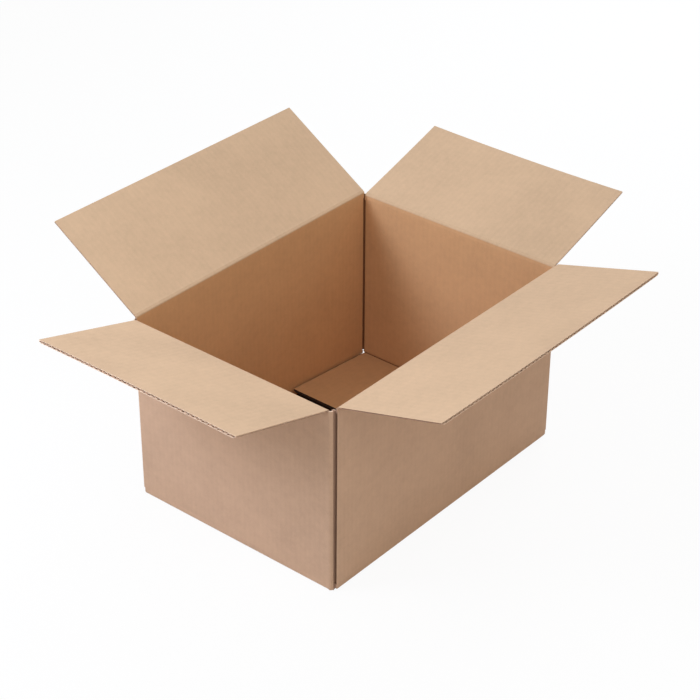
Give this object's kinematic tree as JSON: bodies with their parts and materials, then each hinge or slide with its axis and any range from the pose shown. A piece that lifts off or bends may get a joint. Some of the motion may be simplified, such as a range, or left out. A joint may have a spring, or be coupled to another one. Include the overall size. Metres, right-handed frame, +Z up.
{
  "type": "open slotted carton",
  "caption": "Rectangular carton of corrugated board, open at the top, with hinged top flaps folded out and a closed bottom of overlapping flaps.",
  "frame": {"origin": "centre of the underside, where the carton stands on the ground", "axes": "+Z up; X along the long walls, with the right wall at +X; Y along the short walls, with the front wall at -Y and the glued corner at -X, -Y"},
  "size_m": [0.7408, 0.6011, 0.3443],
  "materials": {
    "kraft_board": "matt"
  },
  "bodies": {
    "carton": {"carton_body": "kraft_board"},
    "front": {"front_flap": "kraft_board"},
    "back": {"back_flap": "kraft_board"},
    "left": {"left_flap": "kraft_board"},
    "right": {"right_flap": "kraft_board"}
  },
  "joints": [
    {"name": "front_crease", "type": "hinge", "parent": "carton", "child": "front", "pos_m": [0, -0.1578, 0.2584], "axis": [1, 0, 0], "range_deg": [-163.8, 81.2]},
    {"name": "back_crease", "type": "hinge", "parent": "carton", "child": "back", "pos_m": [0, 0.1578, 0.2584], "axis": [-1, 0, 0], "range_deg": [-147.8, 97.2]},
    {"name": "left_crease", "type": "hinge", "parent": "carton", "child": "left", "pos_m": [-0.2188, 0, 0.2546], "axis": [0, -1, 0], "range_deg": [-164, 81]},
    {"name": "right_crease", "type": "hinge", "parent": "carton", "child": "right", "pos_m": [0.2188, 0, 0.2546], "axis": [0, 1, 0], "range_deg": [-163.7, 81.3]}
  ]
}
